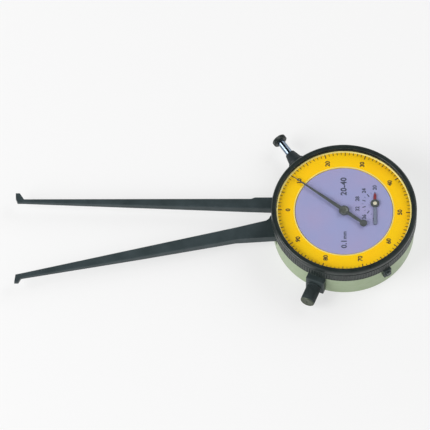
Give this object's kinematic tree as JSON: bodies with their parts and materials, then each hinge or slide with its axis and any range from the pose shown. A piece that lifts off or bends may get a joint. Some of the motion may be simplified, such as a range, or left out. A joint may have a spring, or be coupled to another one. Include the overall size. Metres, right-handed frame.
{
  "type": "inside dial caliper gauge",
  "caption": "Inside caliper gauge with a round dial case, one fixed and one swinging arm with hooked tips, a retracting push button and a finger post.",
  "frame": {"origin": "centre of the dial case's flat back face, on which the gauge lies", "axes": "+Z out of the back face through the dial, -X along the fixed arm towards the contact tips, +Y towards the fixed arm's side"},
  "size_m": [0.1603, 0.0759, 0.0185],
  "materials": {
    "case_metal": "satin",
    "blackened_steel": "satin black finish",
    "black_enamel": "semi-gloss black",
    "bright_steel": "polished",
    "brass": "satin",
    "hairspring_bronze": "satin",
    "scale_yellow": "matt print",
    "dial_lilac": "matt print",
    "pointer_grey": "matt",
    "crystal": "clear"
  },
  "bodies": {
    "case": {"back_cover": "case_metal", "back_cover_screws": "bright_steel", "bezel_clamp_tab": "black_enamel", "bezel_snap_ring": "bright_steel", "bridge_pillars": "brass", "bridge_screws": "bright_steel", "button_guide": "black_enamel", "case_body": "case_metal", "dial_plate": "dial_lilac", "finger_post": "black_enamel", "finger_post_base": "black_enamel", "fixed_arm": "blackened_steel", "fixed_arm_screws": "bright_steel", "hairspring_stud": "brass", "movement_bridge": "brass", "movement_plate": "brass", "pivot_pin": "bright_steel", "pivot_spacer": "bright_steel", "pivot_washer": "bright_steel", "plate_pillars": "brass", "return_spring": "bright_steel", "spring_post": "bright_steel"},
    "arm": {"movable_arm": "blackened_steel", "sector_gear": "brass", "sector_screws": "bright_steel"},
    "button": {"button_stem": "bright_steel", "button_head": "black_enamel", "button_stop_ring": "bright_steel"},
    "first_train": {"first_arbor": "bright_steel", "first_wheel": "brass"},
    "second_train": {"second_arbor": "bright_steel", "second_wheel": "brass"},
    "centre_train": {"centre_arbor": "bright_steel", "main_pointer": "pointer_grey"},
    "counter_train": {"counter_arbor": "bright_steel", "counter_wheel": "brass", "small_pointer": "pointer_grey"},
    "hairspring_train": {"hairspring_arbor": "bright_steel", "hairspring_wheel": "brass", "hairspring": "hairspring_bronze"},
    "bezel": {"bezel_ring": "black_enamel", "scale_ring": "scale_yellow", "crystal": "crystal"},
    "clamp_screw": {"bezel_clamp_screw": "bright_steel"}
  },
  "joints": [
    {"name": "arm_swing", "type": "hinge", "parent": "case", "child": "arm", "pos_m": [-0.016, -0.001, 0], "axis": [0, 0, 1], "range_deg": [-10, 0], "stiffness_Nm_per_rad": 0.3, "springref_deg": 17.19, "deforming": ["return_spring"]},
    {"name": "button_press", "type": "slide", "parent": "case", "child": "button", "axis": [0.5664, -0.8241, 0], "range_m": [0, 0.00234]},
    {"name": "first_arbor_spin", "type": "hinge", "parent": "case", "child": "first_train", "pos_m": [0.00392, 0.01571, 0], "axis": [0, 0, 1], "range_deg": [0, 120]},
    {"name": "second_arbor_spin", "type": "hinge", "parent": "case", "child": "second_train", "pos_m": [-0.00049, 0.00718, 0], "axis": [0, 0, 1], "range_deg": [-360, 0]},
    {"name": "main_pointer_spin", "type": "hinge", "parent": "case", "child": "centre_train", "pos_m": [0, 0, 0], "axis": [0, 0, 1], "range_deg": [0, 720]},
    {"name": "small_pointer_spin", "type": "hinge", "parent": "case", "child": "counter_train", "pos_m": [0.01235, 0.00335, 0], "axis": [0, 0, 1], "range_deg": [-180, 0]},
    {"name": "hairspring_wheel_spin", "type": "hinge", "parent": "case", "child": "hairspring_train", "pos_m": [-0.00311, -0.01159, 0], "axis": [0, 0, 1], "range_deg": [-180, 0], "deforming": ["hairspring"]},
    {"name": "bezel_turn", "type": "hinge", "parent": "case", "child": "bezel", "pos_m": [0, 0, 0], "axis": [0, 0, 1], "continuous": true},
    {"name": "clamp_screw_turn", "type": "hinge", "parent": "case", "child": "clamp_screw", "pos_m": [0.01716, -0.02362, 0.00868], "axis": [0.5878, -0.809, 0], "range_deg": [0, 180]}
  ],
  "couplings": [
    {"joint": "button_press", "follows": "arm_swing", "m_per_rad": -0.01339},
    {"joint": "first_arbor_spin", "follows": "arm_swing", "ratio": -12},
    {"joint": "second_arbor_spin", "follows": "arm_swing", "ratio": 36},
    {"joint": "main_pointer_spin", "follows": "arm_swing", "ratio": -72},
    {"joint": "small_pointer_spin", "follows": "arm_swing", "ratio": 18},
    {"joint": "hairspring_wheel_spin", "follows": "arm_swing", "ratio": 18}
  ]
}
